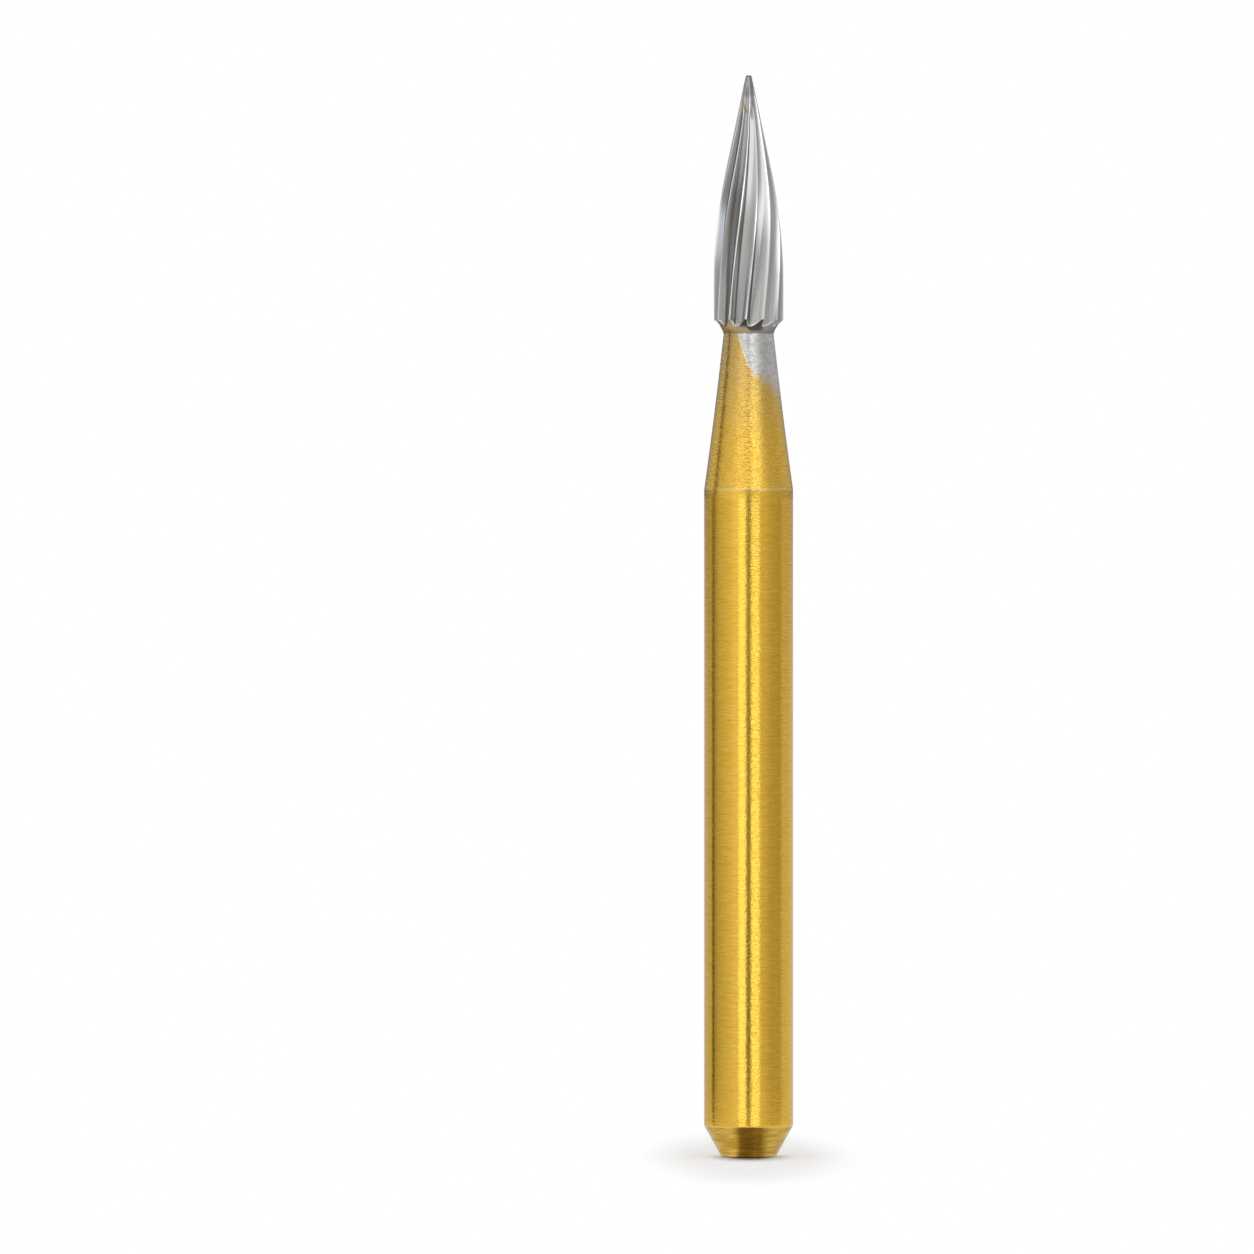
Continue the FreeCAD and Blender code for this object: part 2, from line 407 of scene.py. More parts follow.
# The least angle over which a flute's columns spread, and the share of what is added on the rake's side
EVEN_OPENING = math.radians(9.0)
EVEN_RAKE_SHARE = 0.3

# Painted light and shade on each column of a flute, from dark at 0 to bright at 1: its rake face, then its
# floor up to the next land. The 1s paint highlights along the cutting edges, the lowest values paint shade at
# the roots
RAKE_SHADES = (1.0, 0.50, 0.38, 0.36)
FLOOR_SHADES = (0.40, 0.47, 0.50, 0.50, 0.50, 0.50, 0.50, 0.50, 0.50, 0.62, 1.0)
PLAIN_SHADE = 0.50
# The depth from which a flute has these shades in full
FULL_SHADE_DEPTH = 0.3 * FLUTE_DEPTH
# The painted highlight along the rim where a flute runs out into the hollow flare, and the depth under the
# flare's surface that it covers
RIM_PAINTED_HIGHLIGHT = 1.0
RIM_HIGHLIGHT_DEPTH = 0.020


def flute_columns(height, stop):
    """Angles, radii and painted light and shade of one flute's columns: its rake face, then its floor up to
    the next land.
    """
    flute = Flute(height, stop)
    root = flute.root_angle
    if flute.open():
        rake, floor = flute.meets_surface()
    else:
        rake = floor = root
    spare = EVEN_OPENING - (floor - rake)
    if spare > 0:
        rake -= spare * EVEN_RAKE_SHARE
        floor += spare * (1 - EVEN_RAKE_SHARE)
    angles = np.concatenate([
        rake + (root - rake) * np.array(RAKE_SHARES),
        np.linspace(root, floor, FLOOR_COLUMNS + 1),
    ])
    cut = np.where(angles < root, flute.rake_radius(np.minimum(angles, root)), flute.floor_radius(angles))
    if not flute.open():
        cut = np.full_like(angles, flute.surface)
    opened = np.clip((flute.surface - flute.root_radius) / FULL_SHADE_DEPTH, 0.0, 1.0)
    shades = PLAIN_SHADE + opened * (np.array(RAKE_SHADES + FLOOR_SHADES) - PLAIN_SHADE)
    below = flute.surface - cut
    # Paints a highlight along the rim where the flute runs out into the hollow flare
    if height < BACK_HEIGHT:
        shades = np.where((below > 0) & (below < RIM_HIGHLIGHT_DEPTH), RIM_PAINTED_HIGHLIGHT, shades)
    return angles, np.minimum(cut, flute.surface), shades


def head_ring(height):
    """Angles in radians, radii and painted light and shade round the head at a height above its back face,
    and the turn.
    """
    long_flute = flute_columns(height, LONG_STOP)
    short_flute = flute_columns(height, SHORT_STOP)
    angles, radii, shades = [], [], []
    for i in range(FLUTES):
        own, following = (long_flute, short_flute) if i % 2 == 0 else (short_flute, long_flute)
        angles.append(own[0] + i * PITCH)
        radii.append(own[1])
        shades.append(own[2])
        land = np.linspace(own[0][-1], following[0][0] + PITCH, LAND_COLUMNS + 1)[1:-1]
        angles.append(land + i * PITCH)
        radii.append(np.full_like(land, surface_radius(height)))
        shades.append(np.full_like(land, own[2][-1]))
    turn = math.radians(FIRST_EDGE_ANGLE) + 2 * math.pi * height / HELIX_LEAD
    return np.concatenate(angles) + turn, np.concatenate(radii), np.concatenate(shades), turn


# The height in the hollow flare just above which the flutes open, and the rings in the tip's rounding
OPENING_HEIGHT = 0.11
TIP_RINGS = 7


def head_heights():
    """Ring heights, closer together where the flutes open and end and at the tip."""
    arc_top = STRAIGHT_TOP + FLAME_RADIUS * math.sin(TIP_ANGLE)
    short_fade = HEAD_LENGTH - SHORT_STOP - FADE_LENGTH
    long_fade = HEAD_LENGTH - LONG_STOP - FADE_LENGTH
    # Each span's ends, and its number of rings
    spans = (
        (0.0, OPENING_HEIGHT, 5),
        (OPENING_HEIGHT, BACK_HEIGHT, 36),
        (BACK_HEIGHT, STRAIGHT_TOP, 26),
        (STRAIGHT_TOP, arc_top, 56),
        (arc_top, short_fade, 30),
        (short_fade, long_fade, 26),
        (long_fade, HEAD_LENGTH - LONG_STOP, 34),
        (HEAD_LENGTH - LONG_STOP, HEAD_LENGTH - TIP_ROUNDING, 6),
    )
    heights = [np.linspace(low, high, count, endpoint=False) for low, high, count in spans]
    tip = HEAD_LENGTH - TIP_ROUNDING * (1 - np.sin(np.linspace(0.0, math.pi / 2, TIP_RINGS)))
    return np.concatenate([*heights, tip])


# Streaks of plating on the head, from (angle, height) to (angle, height), with the half width at each end
GOLD_STREAKS = (
    ((-42, 15.98), (-49, 15.20), 0.02, 0.055),
    ((-49, 15.20), (-46, 14.85), 0.055, 0.12),
    ((-30, 15.08), (-29, 15.02), 0.02, 0.03),
    ((-25, 14.88), (-6, 14.84), 0.07, 0.05),
    ((-6, 14.84), (3, 14.84), 0.05, 0.02),
    ((-55, 19.04), (-12, 18.78), 0.018, 0.032),
    ((46, 19.04), (18, 18.90), 0.018, 0.026),
)
# How far out a streak starts to fade and ends, as shares of its half width
STREAK_FADE = (0.3, 1.4)

# The painted shade on the hollow flare under the flutes' ends: its middle, how far either side of that it
# fades out, how far above the neck it begins at the left and at the right, the angles between which that
# changes, and over how much height it comes in
FLARE_SHADE_MIDDLE = 5.0
FLARE_SHADE_FADE = (18.0, 34.0)
FLARE_SHADE_LOW = (0.10, 0.02)
FLARE_SHADE_STEP = (-6.0, 2.0)
FLARE_SHADE_RISE = 0.05


def gold_streaks(angle, height, radius):
    """How gold each point of the head is, from 0 to 1."""
    gold = np.zeros_like(angle)
    for start, end, start_width, end_width in GOLD_STREAKS:
        across = np.radians(angle - start[0]) * radius
        up = height - start[1]
        run_across = np.radians(end[0] - start[0]) * radius
        run_up = end[1] - start[1]
        run_squared = run_across**2 + run_up**2 + NEAR_ZERO
        share = np.clip((across * run_across + up * run_up) / run_squared, 0.0, 1.0)
        distance = np.hypot(across - share * run_across, up - share * run_up)
        width = start_width + share * (end_width - start_width)
        gold = np.maximum(gold, 1.0 - smoothstep(distance / width, *STREAK_FADE))
    return gold


def flare_painted_shade(angle, height):
    """How much painted shade lies on the hollow flare under the flutes' ends, from 0 to 1."""
    around = 1.0 - smoothstep(np.abs(angle - FLARE_SHADE_MIDDLE), *FLARE_SHADE_FADE)
    left, right = FLARE_SHADE_LOW
    low = left + (right - left) * smoothstep(angle, *FLARE_SHADE_STEP)
    return around * smoothstep((height - NECK_TOP - low) / FLARE_SHADE_RISE, 0.0, 1.0)


def build_head():
    heights = head_heights()
    rings, twists, unground, shades = [], [], [], []
    for height in heights:
        angles, radii, shade, turn = head_ring(height)
        shades.append(shade)
        level = np.full_like(angles, height + NECK_TOP)
        rings.append(np.column_stack([radii * np.sin(angles), -radii * np.cos(angles), level]))
        twists.append(angles - turn)
        on_surface = (radii > surface_radius(height) - TOLERANCE) & (height < BACK_HEIGHT - TOLERANCE)
        unground.append(on_surface.astype(float))
    columns = len(rings[0])
    points = np.vstack([(0, 0, NECK_TOP), *rings, (0, 0, NECK_TOP + HEAD_LENGTH)])
    twist = np.concatenate([[0.0], *twists, [0.0]])
    angle = front_angle(points[:, 0], points[:, 1])
    field, width = bare_field(angle, points[:, 2])
    as_sintered = np.concatenate([[1.0], *unground, [0.0]])
    attributes = {
        "shade": np.concatenate([[PLAIN_SHADE], *shades, [PLAIN_SHADE]]),
        "along_x": np.cos(twist),
        "along_y": np.sin(twist),
        "unground": as_sintered,
        "flare_painted_shade": as_sintered * flare_painted_shade(angle, points[:, 2]),
        "bare_field": field,
        "bare_width": width,
        "gold": gold_streaks(angle, points[:, 2], np.hypot(points[:, 0], points[:, 1])),
    }
    piece = mesh_object("fluted_head", points, ring_faces(len(heights), columns), attributes)
    smooth(piece, HEAD_SHARP_ANGLE)
    return piece


# The levels of a noise that count as low and high
WIDE = (0.2, 0.8)
MIDDLE = (0.3, 0.7)
NARROW = (0.35, 0.65)
FLECK_LEVELS = (0.25, 0.75)
GLINT_LEVELS = (0.50, 0.75)
TRACE_LEVELS = (0.3, 0.9)

# The shank's grain, turning marks, ridges and hatching: features for each millimetre, detail and roughness
SHANK_PATTERNS = (
    ((20, 20, 32), 2.0, 0.5),
    ((5, 5, 45), 3.0, 0.6),
    ((2.5, 2.5, 15), 2.0, 0.6),
    ((10, 10, 24), 2.0, 0.6),
)
# How much each of them raises the surface, and how high a whole step is
MARKS_RELIEF = 1.5
GRAIN_RELIEF = 2.5
HATCH_RELIEF = 7.0
RIDGES_RELIEF = 14.0
SHANK_RELIEF = 0.0009

# The shank's colours, of which the first three go from one to the other by a pattern
PLATING = ((0.84, 0.485, 0.046, 1.0), (0.97, 0.615, 0.10, 1.0))
# The end cone's darker tint is painted shade, varied by its turned ridges
CONE_SHADE_TINT = ((0.40, 0.23, 0.03, 1.0), (0.78, 0.50, 0.10, 1.0))
STEEL = ((0.50, 0.485, 0.46, 1.0), (0.76, 0.745, 0.72, 1.0))
THIN_GOLD = (0.38, 0.33, 0.24, 1.0)
FLECKS = (0.70, 0.40, 0.05, 1.0)
GLINTS = (1.0, 0.84, 0.46, 1.0)
# The gold of the painted highlights along the plating's border and the turned edges
HIGHLIGHT_GOLD = (1.0, 0.86, 0.50, 1.0)
# The dark of the painted shade along the foot
FOOT_SHADE = (0.03, 0.02, 0.01, 1.0)
# How much of them shows where they show most
CONE_SHADE_SHARE = 0.8
THIN_SHARE = 0.60
FLECK_SHARE = 0.45
GLINT_SHARE = 0.22
BORDER_HIGHLIGHT_SHARE = 0.7

# How ragged the plating's border is, and how far from it, in widths of its fade, the painted highlight along
# it ends
SHANK_BORDER_GRAIN = 0.02
BORDER_HIGHLIGHT_REACH = (0.9, 2.2)
# The painted highlight shows where the border is crisp: it gives out between these widths of the border's
# fade
CRISP_WIDTHS = (0.02, 0.06)
# Over how much height below the shoulder the neck's look comes in, and the end cone's below its top edge
NECK_BLEND = 0.01
CONE_BLEND = 0.02
# How far above the shoulder the plating starts to thin out
THIN_START = 0.8
# The painted highlights along the turned edges, as (height, share), and how far off they fade
EDGE_HIGHLIGHTS = ((SHOULDER, 0.35), (END_CONE_HEIGHT, 0.12))
EDGE_HIGHLIGHT_FADE = (0.012, 0.03)
# The painted shade along the foot, a dark line at the end face's edge, ends between these heights
FOOT_SHADE_FADE = (0.022, 0.012)

PLATED_ROUGHNESS = 0.15
WORKED_ROUGHNESS = 0.20
BARE_ROUGHNESS = 0.08


def ragged(g, value, grain, amount):
    """A value with up to an amount of grain added or taken away."""
    return g.math("ADD", value, g.rescale(grain, *WIDE, -amount, amount))


def past_border(g, grain, amount):
    """How far above the plating's border a point is, in widths of the border's fade."""
    return g.math("DIVIDE", ragged(g, g.attribute("bare_field"), grain, amount), g.attribute("bare_width"))


def plated_steel():
    """Gold-coloured plating over turned steel, which shows bare where the plating is worn off. Painted shade
    darkens the end cone and the foot, and painted highlights lie along the plating's border and the turned
    edges.
    """
    material, g = new_graph("plated_steel")
    place = g.place()
    height = g.axis(place, "Z")
    grain, marks, ridges, hatch = [g.noise(place, *pattern) for pattern in SHANK_PATTERNS]

    past = past_border(g, grain, SHANK_BORDER_GRAIN)
    bare = g.rescale(past, -1.0, 1.0, smooth=True)
    border_highlight = g.rescale(g.math("ABSOLUTE", past), *BORDER_HIGHLIGHT_REACH, 1.0, 0.0)
    crisp = g.rescale(g.attribute("bare_width"), *CRISP_WIDTHS, 1.0, 0.0)
    border_highlight = g.math("MULTIPLY", border_highlight, crisp)

    on_neck = g.rescale(height, (SHOULDER - NECK_BLEND) * MM, SHOULDER * MM)
    on_cone = g.rescale(height, END_CONE_HEIGHT * MM, (END_CONE_HEIGHT - CONE_BLEND) * MM)
    worked = g.math("MAXIMUM", on_neck, on_cone)
    tint = g.blend(g.rescale(marks, *MIDDLE), *PLATING)
    # Paints shade on the end cone
    cone_shade_tint = g.blend(g.rescale(ridges, *NARROW), *CONE_SHADE_TINT)
    tint = g.blend(g.math("MULTIPLY", on_cone, CONE_SHADE_SHARE), tint, cone_shade_tint)
    thinned = g.rescale(height, (SHOULDER + THIN_START) * MM, NECK_TOP * MM, 0.0, THIN_SHARE)
    tint = g.blend(g.math("MULTIPLY", on_neck, thinned), tint, THIN_GOLD)
    flecked = g.math("MULTIPLY", on_neck, g.rescale(hatch, *FLECK_LEVELS, 0.0, FLECK_SHARE))
    tint = g.blend(flecked, tint, FLECKS)
    glinting = g.math("MULTIPLY", on_neck, g.rescale(grain, *GLINT_LEVELS, 0.0, GLINT_SHARE))
    tint = g.blend(glinting, tint, GLINTS)
    steel = g.blend(g.rescale(hatch, *MIDDLE), *STEEL)
    colour = g.blend(bare, tint, steel)
    # Painted highlight along the plating's border
    colour = g.blend(g.math("MULTIPLY", border_highlight, BORDER_HIGHLIGHT_SHARE), colour, HIGHLIGHT_GOLD)
    # Painted highlights along the shoulder and the end cone's top edge
    for level, share in EDGE_HIGHLIGHTS:
        off = g.math("ABSOLUTE", g.math("SUBTRACT", height, level * MM))
        edge = g.rescale(off, EDGE_HIGHLIGHT_FADE[0] * MM, EDGE_HIGHLIGHT_FADE[1] * MM, 1.0, 0.0)
        colour = g.blend(g.math("MULTIPLY", edge, share), colour, HIGHLIGHT_GOLD)
    # Painted shade along the foot
    foot_shade = g.rescale(height, FOOT_SHADE_FADE[0] * MM, FOOT_SHADE_FADE[1] * MM)
    colour = g.blend(foot_shade, colour, FOOT_SHADE)

    roughness = g.rescale(worked, 0.0, 1.0, PLATED_ROUGHNESS, WORKED_ROUGHNESS)
    roughness = g.math("ADD", roughness, g.rescale(bare, 0.0, 1.0, 0.0, BARE_ROUGHNESS))
    lift = g.math("MULTIPLY", g.math("SUBTRACT", marks, 0.5), MARKS_RELIEF)
    reliefs = (
        (grain, GRAIN_RELIEF),
        (hatch, g.math("MULTIPLY", worked, HATCH_RELIEF)),
        (ridges, g.math("MULTIPLY", on_cone, RIDGES_RELIEF)),
    )
    for pattern, weight in reliefs:
        lift = g.math("ADD", lift, g.math("MULTIPLY", g.math("SUBTRACT", pattern, 0.5), weight))
    bump = g.add("ShaderNodeBump", {"Strength": 1.0, "Distance": SHANK_RELIEF * MM, "Height": lift})
    tangent = g.add("ShaderNodeTangent", direction_type="RADIAL", axis="Z")
    inputs = {
        "Base Color": colour,
        "Metallic": 1.0,
        "Roughness": roughness,
        "Anisotropic": 0.4,
        "Anisotropic Rotation": 0.25,
        "Tangent": tangent,
        "Normal": bump,
    }
    surface = g.add("ShaderNodeBsdfPrincipled", inputs)
    g.add("ShaderNodeOutputMaterial", {"Surface": surface})
    return material


# The head's grinding lines and grain. The lines' first two scales act on the cosine and sine of the angle
# from the flutes' own turn, which are no lengths
GRINDING_LINES = ((0.022, 0.022, 0.7), 3.0, 0.6)
CARBIDE_GRAIN = ((28, 28, 28), 2.0, 0.5)
# How far below the tip the lines fade out, and the level at which they leave no mark
LINES_END = (1.4, 0.7)
NO_LINES = (0.5, 0.5, 0.5, 1.0)
LINES_SHADE = 0.03
CARBIDE_RELIEF = 0.0003

# The head's colours, of which the first goes from dark to bright by the flutes' painted light and shade
GROUND_SHADED_TO_LIT = ((0.045, 0.041, 0.036, 1.0), (0.95, 0.93, 0.905, 1.0))
UNGROUND = (0.30, 0.285, 0.27, 1.0)
TIP_GREY = (0.26, 0.255, 0.25, 1.0)
# The dark brown of the painted shade on the hollow flare
FLARE_SHADE_BROWN = (0.085, 0.078, 0.070, 1.0)
TRACE_GOLD = (0.42, 0.31, 0.15, 1.0)
TIP_SHARE = 0.6
TRACE_SHARE = 0.85
# How far below the tip its grey comes in
TIP_FADE = (0.42, 0.34)
# How ragged the plating's border and its traces are
HEAD_BORDER_GRAIN = 0.03
TRACE_GRAIN = 0.25

CARBIDE_ROUGHNESS = (0.17, 0.23)
UNGROUND_ROUGHNESS = 0.1


def ground_carbide():
    """Ground carbide, dark to bright by the flutes' painted light and shade, with fine grinding lines along
    the flutes, traces of the plating and painted shade on the hollow flare.
    """
    material, g = new_graph("ground_carbide")
    place = g.place()
    height = g.axis(place, "Z")
    around = {"X": g.attribute("along_x"), "Y": g.attribute("along_y"), "Z": height}
    untwisted = g.add("ShaderNodeCombineXYZ", around)
    lines = g.noise(untwisted, *GRINDING_LINES)
    ended = g.rescale(height, (TIP_TOP - LINES_END[0]) * MM, (TIP_TOP - LINES_END[1]) * MM)
    lines = g.blend(ended, lines, NO_LINES)
    grain = g.noise(place, *CARBIDE_GRAIN)

    shade = g.math("ADD", g.attribute("shade"), g.rescale(lines, *MIDDLE, -LINES_SHADE, LINES_SHADE))
    # Painted light and shade from the flutes' columns, from dark roots to bright cutting edges
    tone = g.blend(shade, *GROUND_SHADED_TO_LIT)
    tone = g.blend(g.attribute("unground"), tone, UNGROUND)
    tip = g.rescale(height, (TIP_TOP - TIP_FADE[0]) * MM, (TIP_TOP - TIP_FADE[1]) * MM)
    tone = g.blend(g.math("MULTIPLY", tip, TIP_SHARE), tone, TIP_GREY)
    # Painted shade on the hollow flare under the flutes' ends
    tone = g.blend(g.attribute("flare_painted_shade"), tone, FLARE_SHADE_BROWN)
    plated = g.rescale(past_border(g, grain, HEAD_BORDER_GRAIN), 1.0, -1.0, smooth=True)
    trace = ragged(g, g.attribute("gold"), grain, TRACE_GRAIN)
    gold = g.math("MAXIMUM", plated, g.rescale(trace, *TRACE_LEVELS, 0.0, TRACE_SHARE))
    colour = g.blend(gold, tone, TRACE_GOLD)
    roughness = g.rescale(lines, *MIDDLE, *CARBIDE_ROUGHNESS)
    roughness = g.math("ADD", roughness, g.math("MULTIPLY", g.attribute("unground"), UNGROUND_ROUGHNESS))
    bump = g.add("ShaderNodeBump", {"Strength": 1.0, "Distance": CARBIDE_RELIEF * MM, "Height": lines})
    inputs = {
        "Base Color": colour,
        "Metallic": 1.0,
        "Roughness": roughness,
        "Specular Tint": (0.55, 0.55, 0.55, 1.0),
        "Normal": bump,
    }
    surface = g.add("ShaderNodeBsdfPrincipled", inputs)
    g.add("ShaderNodeOutputMaterial", {"Surface": surface})
    return material


def dress(piece, material, node):
    piece.data.materials.append(material)
    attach(piece, "root")
    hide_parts(node)


# The light tent round the bur, whose wall glows unevenly
TENT_RADIUS = 350.0
TENT_BOTTOM = -200.0
TENT_TOP = 500.0
# (angle round the bur from the camera, positive to the right, and the wall's brightness or colour there)
LOW_LIGHT = (
    (-180, 0.54),
    (-112, 0.54),
    (-108, 0.12),
    (-102, 0.12),
    (-99, 0.38),
    (-50, 0.62),
    (-30, 0.66),
    (-25, 0.95),
    (-8, 0.95),
    (-6, 0.12),
    (4, 0.12),
    (7, 0.60),
    (26, 0.60),
    (42, 0.50),
    (56, 0.46),
    (100, 0.60),
    (141, 0.74),
    (180, 0.54),
)
SHANK_LIGHT = (
    (-180, 0.56),
    (-112, 0.58),
    (-108, (0.09, 0.07, 0.04)),
    (-102, (0.09, 0.07, 0.04)),
    (-100, 0.38),
    (-93, 0.40),
    (-90, 0.48),
    (-50, 0.74),
    (-33, 0.92),
    (-31, 0.70),
    (-27, 0.70),
    (-25, (1.88, 2.14, 2.48)),
    (-8, (1.88, 2.14, 2.48)),
    (-6, (0.11, 0.09, 0.06)),
    (4, (0.11, 0.09, 0.06)),
    (7, (2.12, 2.38, 2.60)),
    (26, (2.06, 2.34, 2.60)),
    (29, (0.80, 0.75, 0.64)),
    (42, (0.68, 0.64, 0.54)),
    (56, (0.43, 0.40, 0.33)),
    (91, (0.37, 0.345, 0.29)),
    (94, 0.68),
    (135, 0.68),
    (180, 0.56),
)
HEAD_LIGHT = (
    (-180, 0.22),
    (-150, 0.18),
    (-110, 0.22),
    (-96, 0.42),
    (-84, 0.54),
    (-50, 0.74),
    (-32, 1.10),
    (-18, 1.00),
    (3, 0.54),
    (14, 0.46),
    (30, 0.58),
    (49, 0.70),
    (75, 0.54),
    (95, 0.37),
    (120, 0.33),
    (150, 0.27),
    (180, 0.22),
)
SIDE_LIGHT = (
    (-180, (0.46, 0.47, 0.50)),
    (-140, (0.56, 0.58, 0.63)),
    (-106, (0.60, 0.62, 0.66)),
    (-102, 0.08),
    (-95, 0.08),
    (-91, 0.64),
    (-73, 0.82),
    (-50, 0.82),
    (-32, 0.95),
    (-18, 0.72),
    (3, 0.46),
    (14, 0.46),
    (30, 0.56),
    (49, 0.56),
    (75, 0.42),
    (97, 0.47),
    (120, (0.53, 0.55, 0.60)),
    (150, (0.53, 0.55, 0.60)),
    (180, (0.46, 0.47, 0.50)),
)
NECK_LIGHT = (
    (-180, (0.98, 1.01, 1.12)),
    (-140, (1.04, 1.08, 1.20)),
    (-106, (0.86, 0.90, 0.98)),
    (-102, 0.05),
    (-95, 0.05),
    (-91, 0.44),
    (-75, 0.50),
    (-47, 0.68),
    (-27, 0.60),
    (-12, 0.58),
    (-7, 0.62),
    (-4, 0.30),
    (4, 0.30),
    (9, (1.85, 1.95, 2.06)),
    (36, (2.00, 2.10, 2.20)),
    (48, 0.80),
    (60, 0.72),
    (97, 0.80),
    (130, (0.90, 0.93, 1.02)),
    (180, (0.98, 1.01, 1.12)),
)
FLAME_LIGHT = (
    (-180, 0.30),
    (-150, 0.44),
    (-130, 0.54),
    (-90, 0.78),
    (-60, 1.05),
    (-42, 1.30),
    (-32, (1.93, 1.97, 2.06)),
    (20, (1.93, 1.97, 2.06)),
    (36, 0.70),
    (80, 0.42),
    (110, 0.32),
    (180, 0.30),
)
TIP_LIGHT = (
    (-180, 0.22),
    (-60, 0.22),
    (-20, 0.34),
    (30, 0.34),
    (90, 0.22),
    (180, 0.22),
)
# The wall's lights from low to high, and the heights between which each gives way to the next
WALL_LIGHTS = (LOW_LIGHT, SHANK_LIGHT, HEAD_LIGHT, SIDE_LIGHT, NECK_LIGHT, FLAME_LIGHT, TIP_LIGHT)
LIGHT_CHANGES = ((-28.0, -12.0), (11.5, 15.5), (34.0, 44.0), (72.0, 100.0), (118.0, 131.0), (180.0, 205.0))
# A ramp's colours stop at 1, so it holds the wall's brightness over this
BRIGHTEST = 2.6
WHITE = (1.0, 1.0, 1.0, 1.0)
# The world's light on things, which camera and mirror rays see as 1
WORLD_LIGHT = 0.95


def seen_directly(g):
    """1 for camera, mirror and glass rays, and 0 for the light that falls on things."""
    rays = g.tree.nodes.new("ShaderNodeLightPath").outputs
    seen = g.math("MAXIMUM", rays["Is Camera Ray"], rays["Is Glossy Ray"])
    return g.math("MAXIMUM", seen, rays["Is Transmission Ray"])


def build_world():
    world = bpy.data.worlds.new("studio")
    bpy.context.scene.world = world
    world.use_nodes = True
    g = Graph(world.node_tree)
    strength = g.rescale(seen_directly(g), 0.0, 1.0, WORLD_LIGHT, 1.0)
    background = g.add("ShaderNodeBackground", {"Color": WHITE, "Strength": strength})
    g.add("ShaderNodeOutputWorld", {"Surface": background})


def wall_stops(light):
    """Ramp stops for a table of light round the bur."""
    return [((angle + 180) / 360, tuple(np.broadcast_to(level, 3) / BRIGHTEST)) for angle, level in light]


def build_tent(segments=180):
    angle = np.linspace(0.0, 2 * math.pi, segments, endpoint=False)
    x, y = TENT_RADIUS * np.sin(angle), -TENT_RADIUS * np.cos(angle)
    points = np.vstack([np.column_stack([x, y, np.full_like(x, z)]) for z in (TENT_BOTTOM, TENT_TOP)])
    faces = [(i, (i + 1) % segments, segments + (i + 1) % segments, segments + i) for i in range(segments)]
    tent = mesh_object("light_tent", points, faces)
    material, g = new_graph("tent_wall")
    place = g.place()
    across = g.axis(place, "X")
    towards_camera = g.math("MULTIPLY", g.axis(place, "Y"), -1.0)
    turn = g.math("ARCTAN2", across, towards_camera)
    share = g.rescale(turn, -math.pi, math.pi)
    height = g.axis(place, "Z")
    light = g.ramp(share, wall_stops(WALL_LIGHTS[0]))
    for (low, high), stops in zip(LIGHT_CHANGES, WALL_LIGHTS[1:]):
        change = g.rescale(height, low * MM, high * MM, smooth=True)
        light = g.blend(change, light, g.ramp(share, wall_stops(stops)))
    glow = g.add("ShaderNodeEmission", {"Color": light, "Strength": BRIGHTEST})
    g.add("ShaderNodeOutputMaterial", {"Surface": glow})
    tent.data.materials.append(material)
    tent.visible_camera = False
    tent.visible_shadow = False


TABLE_RADIUS = 10.0
PAPER = 0.93
# Half the width of the floor that shows its own shade, and how much longer that stretch is than it is wide
SHADE_HALF_WIDTH = (0.8, 2.2)
SHADE_LENGTH_RATIO = 5.0
# The painted shadow in front of the end face: its middle, its half width and half length, and the paper's
# tones by the distance from that middle, counted in those sizes, with the most that the ramp of tones holds
PAINTED_SHADOW_MIDDLE = (0.0, -0.49)
PAINTED_SHADOW_SIZE = (0.55, 1.1)
PAINTED_SHADOW_TONES = ((0.3, 0.4), (0.5, 0.6), (0.74, 0.85), (1.0, 0.95), (1.5, 1.0))
PAINTED_SHADOW_REACH = 2.0
# The paper's own glow for camera and mirror rays, and the distances over which it comes up, in the same
# sizes. It is held back near the end face, which deepens the painted shadow there
PAPER_GLOW = 0.30
GLOW_DISTANCES = (0.4, 1.4)
# A painted reflection for the end cone: what mirror rays see of the floor round it, by angle as on the wall,
# dark in front and paler beside it. It gives out between the distances from the axis given below
CONE_REFLECTION_LIGHT = (
    (-180, 0.70),
    (-90, 0.74),
    (-55, 0.78),
    (-44, 0.88),
    (-33, 0.86),
    (-20, (0.28, 0.22, 0.14)),
    (-8, (0.20, 0.155, 0.08)),
    (6, (0.21, 0.16, 0.08)),
    (14, (0.27, 0.22, 0.13)),
    (24, (0.25, 0.20, 0.12)),
    (34, (0.42, 0.38, 0.30)),
    (46, 0.62),
    (60, 0.76),
    (90, 0.76),
    (180, 0.70),
)
CONE_REFLECTION_REACH = (1.5, 2.5)
# How bright mirror rays see the white further off
MIRRORED_WHITE = 0.75
# The faint shade on the white in front of the bur: how deep it is, how far forwards it is full, how far to
# the left its middle lies, and the half widths and lengths between which it fades out
FRONT_SHADE = 0.09
FRONT_SHADE_START = 0.5
FRONT_SHADE_OFFSET = 0.2
FRONT_SHADE_WIDTH = (0.1, 1.1)
FRONT_SHADE_LENGTH = (6.0, 9.8)


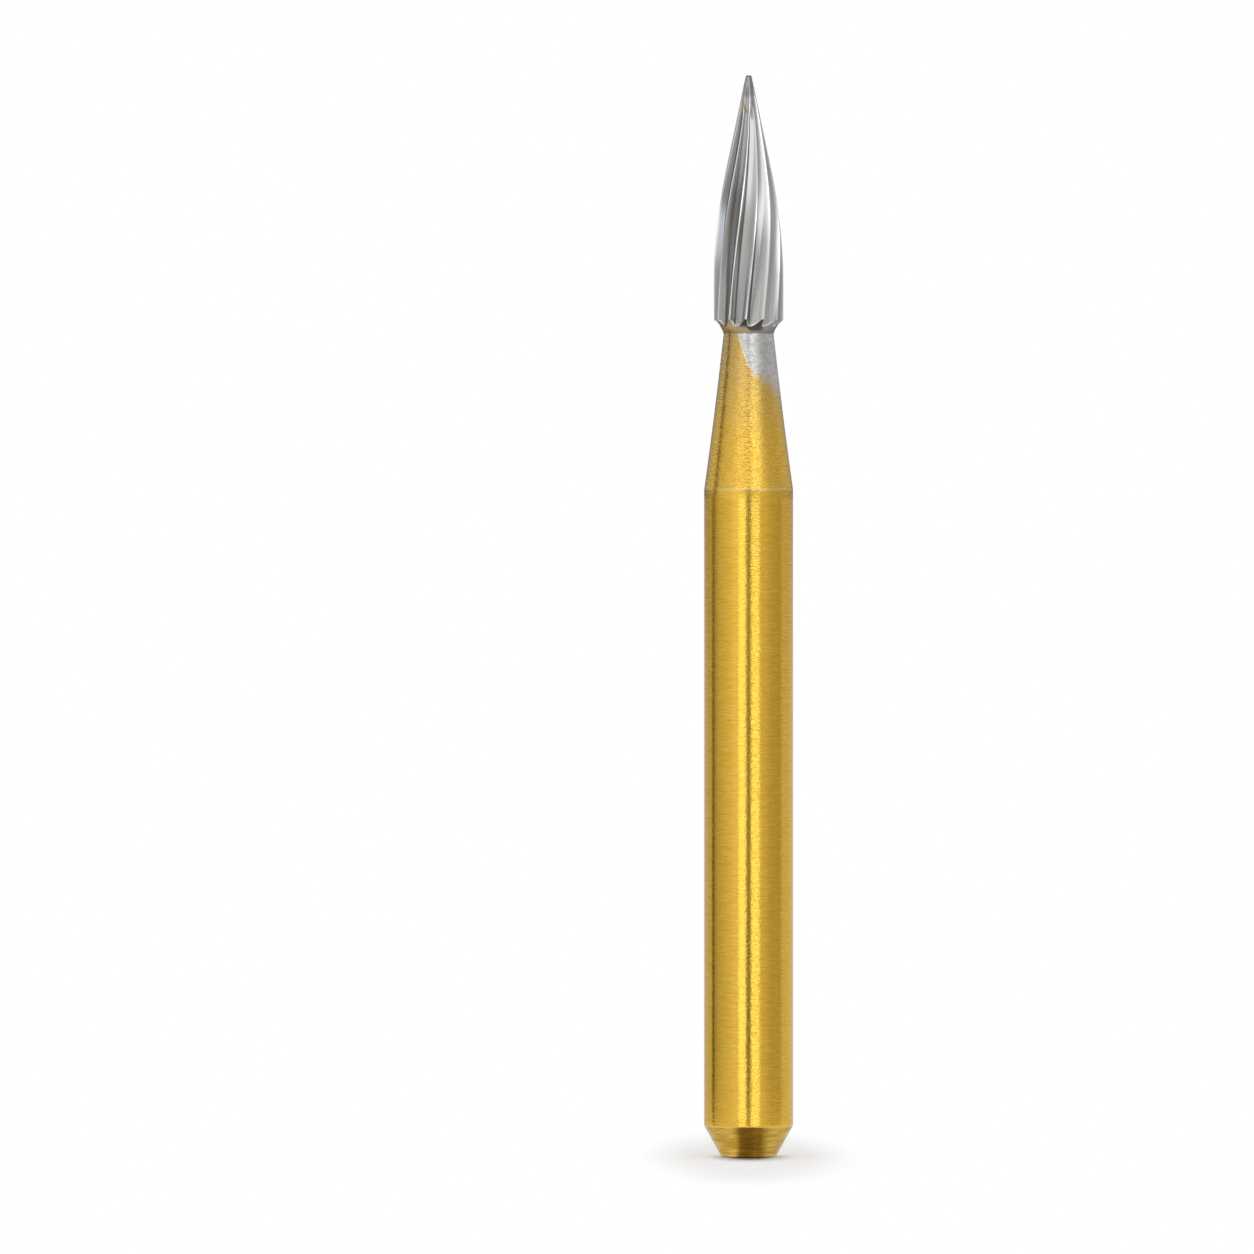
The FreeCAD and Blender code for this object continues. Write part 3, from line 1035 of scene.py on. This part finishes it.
def build_floor(segments=96):
    """A round table of pale paper, which goes over to the white of the background away from the bur.

    The paper has a painted shadow in front of the end face, and the white a faint shade in front of the bur.
    Mirror rays see a painted reflection for the end cone near the bur.
    """
    angle = np.linspace(0.0, 2 * math.pi, segments, endpoint=False)
    edge = np.column_stack([TABLE_RADIUS * np.cos(angle), TABLE_RADIUS * np.sin(angle), np.zeros_like(angle)])
    floor = mesh_object("floor", edge, [tuple(range(segments))])
    material, g = new_graph("pale_floor")
    place = g.place()
    forwards = g.math("MULTIPLY", g.axis(place, "Y"), -1.0)
    mirrored = g.tree.nodes.new("ShaderNodeLightPath").outputs["Is Glossy Ray"]

    # Paints a shadow into the paper in front of the end face
    from_painted_shadow = g.vector("ADD", place, [-c * MM for c in (*PAINTED_SHADOW_MIDDLE, 0.0)])
    in_sizes = g.vector("MULTIPLY", from_painted_shadow, [1 / (s * MM) for s in (*PAINTED_SHADOW_SIZE, 1.0)])
    outwards = g.length(in_sizes)
    painted_shadow_tones = [(away / PAINTED_SHADOW_REACH, (PAPER * tone,) * 3) for away, tone in PAINTED_SHADOW_TONES]
    shadowed_paper = g.ramp(g.math("DIVIDE", outwards, PAINTED_SHADOW_REACH), painted_shadow_tones)
    shadowed_paper = g.add("ShaderNodeBsdfDiffuse", {"Color": shadowed_paper})
    lift = g.rescale(outwards, *GLOW_DISTANCES, 0.0, PAPER_GLOW)
    lift = g.math("MULTIPLY", seen_directly(g), lift)
    glow = g.add("ShaderNodeEmission", {"Color": WHITE, "Strength": lift})
    near = g.add("ShaderNodeAddShader", {0: shadowed_paper, 1: glow})

    # A painted reflection for the end cone, which mirror rays alone see near the bur
    turn = g.math("ARCTAN2", g.axis(place, "X"), forwards)
    cone_reflection = g.ramp(g.rescale(turn, -math.pi, math.pi), wall_stops(CONE_REFLECTION_LIGHT))
    cone_reflection = g.add("ShaderNodeEmission", {"Color": cone_reflection, "Strength": BRIGHTEST})
    in_reach = g.rescale(g.length(place), CONE_REFLECTION_REACH[0] * MM, CONE_REFLECTION_REACH[1] * MM, 1.0, 0.0)
    near = g.add("ShaderNodeMixShader", {0: g.math("MULTIPLY", mirrored, in_reach), 1: near, 2: cone_reflection})

    sideways = g.math("ABSOLUTE", g.math("ADD", g.axis(place, "X"), FRONT_SHADE_OFFSET * MM))
    front = g.rescale(forwards, 0.0, FRONT_SHADE_START * MM, 0.0, FRONT_SHADE)
    for value, (start, end) in ((sideways, FRONT_SHADE_WIDTH), (forwards, FRONT_SHADE_LENGTH)):
        front = g.math("MULTIPLY", front, g.rescale(value, end * MM, start * MM, smooth=True))
    brightness = g.math("SUBTRACT", g.rescale(mirrored, 0.0, 1.0, 1.0, MIRRORED_WHITE), front)
    white = g.add("ShaderNodeEmission", {"Color": WHITE, "Strength": brightness})

    distance = g.length(g.vector("MULTIPLY", place, (1.0, 1.0 / SHADE_LENGTH_RATIO, 1.0)))
    far = g.rescale(distance, SHADE_HALF_WIDTH[0] * MM, SHADE_HALF_WIDTH[1] * MM, smooth=True)
    mixed = g.add("ShaderNodeMixShader", {0: far, 1: near, 2: white})
    g.add("ShaderNodeOutputMaterial", {"Surface": mixed})
    floor.data.materials.append(material)


def build_camera():
    data = bpy.data.cameras.new("camera")
    camera = bpy.data.objects.new("camera", data)
    bpy.context.scene.collection.objects.link(camera)
    data.sensor_width = SENSOR_WIDTH
    data.lens = SENSOR_WIDTH * CAMERA_DISTANCE * PIXELS_PER_MM / IMAGE_PIXELS
    data.clip_start, data.clip_end = (distance * MM for distance in CLIP_DISTANCES)
    across, height = FRAME_CENTRE
    camera.location = (across * MM, -CAMERA_DISTANCE * MM, CAMERA_HEIGHT * MM)
    pitch = math.atan2(height - CAMERA_HEIGHT, CAMERA_DISTANCE)
    camera.rotation_euler = (math.pi / 2 + pitch, 0.0, 0.0)
    bpy.context.scene.camera = camera


build_camera()
build_world()
build_tent()
build_floor()
dress(build_shank(), plated_steel(), "shank")
dress(build_head(), ground_carbide(), "cutting_head")
bpy.context.scene.view_settings.view_transform = "Standard"
